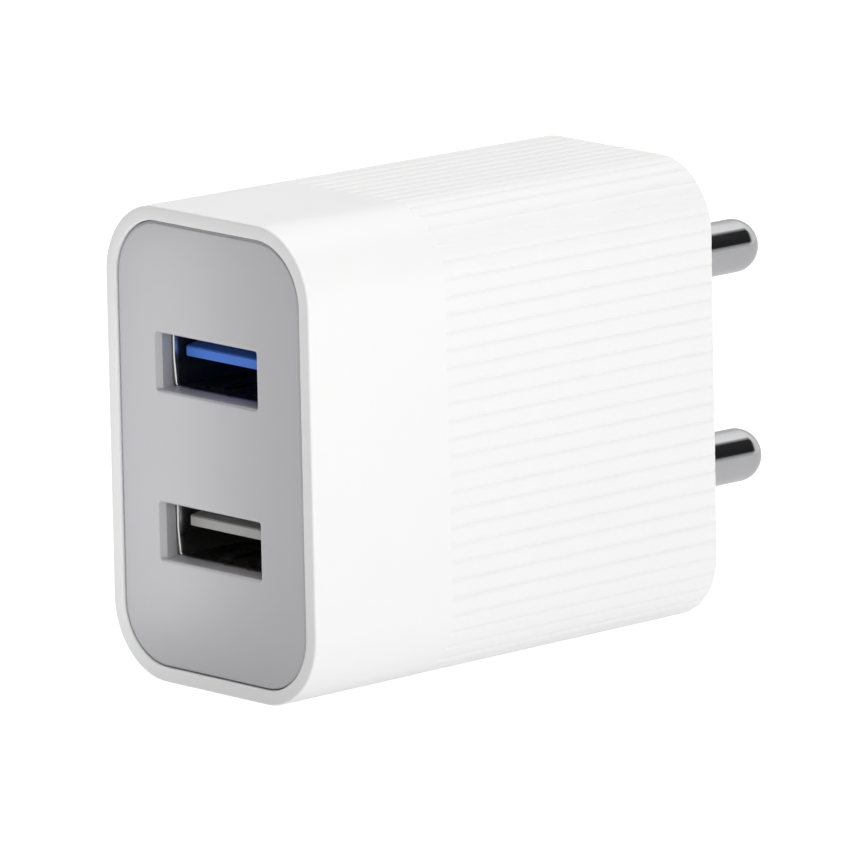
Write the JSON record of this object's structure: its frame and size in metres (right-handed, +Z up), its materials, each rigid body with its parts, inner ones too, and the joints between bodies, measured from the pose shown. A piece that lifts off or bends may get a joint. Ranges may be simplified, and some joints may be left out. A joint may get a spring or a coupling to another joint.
{
  "type": "usb wall charger",
  "caption": "Upright white wall charger with round plug pins at the back and stacked USB-A ports in a grey front panel.",
  "frame": {"origin": "centre of the housing's flat back face, midway between the two plug pins", "axes": "+Z up, +Y out of the wall face along the plug pins, the ports face -Y"},
  "size_m": [0.0266, 0.0641, 0.042],
  "materials": {
    "chip_epoxy": "black moulded epoxy",
    "tinned_wire": "tinned wire and legs",
    "chip_resistor_body": "black film on white ceramic",
    "ferrite": "dark ground ferrite",
    "copper_winding": "enamelled copper wire",
    "panel_grey": "pale grey, satin",
    "resistor_coating": "grey-green lacquer",
    "housing_white": "white ABS/PC, satin gloss",
    "capacitor_can": "bright drawn can",
    "capacitor_sleeve_black": "black shrink sleeve",
    "insulation_film": "milky film, satin",
    "circuit_board": "green solder-masked glass-fibre laminate",
    "capacitor_sleeve_green": "dark green shrink sleeve",
    "contact_bronze": "phosphor bronze strip, satin",
    "pin_metal": "nickel-plated brass, polished",
    "contact_gold": "gold-flashed contact strip",
    "port_shell_metal": "nickel-plated steel sheet",
    "tongue_pale": "white moulded insulator",
    "tongue_blue": "blue moulded insulator",
    "solder": "bright solder",
    "bobbin_plastic": "black moulded bobbin",
    "winding_tape": "yellow polyester tape",
    "ceramic_lacquer": "blue lacquered ceramic disc"
  },
  "bodies": {
    "root": {"bridge_rectifier": "chip_epoxy", "bridge_rectifier_legs": "tinned_wire", "capacitor_leads": "tinned_wire", "chip_resistors": "chip_resistor_body", "choke_core": "ferrite", "choke_leads": "tinned_wire", "choke_winding": "copper_winding", "controller_chip": "chip_epoxy", "controller_chip_legs": "tinned_wire", "front_panel": "panel_grey", "fuse_resistor": "resistor_coating", "fuse_resistor_leads": "tinned_wire", "housing": "housing_white", "input_capacitor_front_can": "capacitor_can", "input_capacitor_front_sleeve": "capacitor_sleeve_black", "input_capacitor_rear_can": "capacitor_can", "input_capacitor_rear_sleeve": "capacitor_sleeve_black", "insulation_sheet": "insulation_film", "main_board": "circuit_board", "output_capacitor_lower_can": "capacitor_can", "output_capacitor_lower_sleeve": "capacitor_sleeve_green", "output_capacitor_middle_can": "capacitor_can", "output_capacitor_middle_sleeve": "capacitor_sleeve_green", "output_capacitor_upper_can": "capacitor_can", "output_capacitor_upper_sleeve": "capacitor_sleeve_green", "output_rectifier": "chip_epoxy", "output_rectifier_legs": "tinned_wire", "pin_contact_lower": "contact_bronze", "pin_contact_upper": "contact_bronze", "plug_pin_lower": "pin_metal", "plug_pin_upper": "pin_metal", "port_contacts_lower": "contact_gold", "port_contacts_upper": "contact_gold", "port_controller_chip": "chip_epoxy", "port_controller_chip_legs": "tinned_wire", "port_shell_lower": "port_shell_metal", "port_shell_upper": "port_shell_metal", "port_tongue_lower": "tongue_pale", "port_tongue_upper": "tongue_blue", "solder_joints": "solder", "transformer_bobbin": "bobbin_plastic", "transformer_core_lower": "ferrite", "transformer_core_upper": "ferrite", "transformer_pins": "tinned_wire", "transformer_tape": "winding_tape", "transformer_winding": "copper_winding", "y_capacitor": "ceramic_lacquer", "y_capacitor_leads": "tinned_wire"}
  },
  "joints": []
}
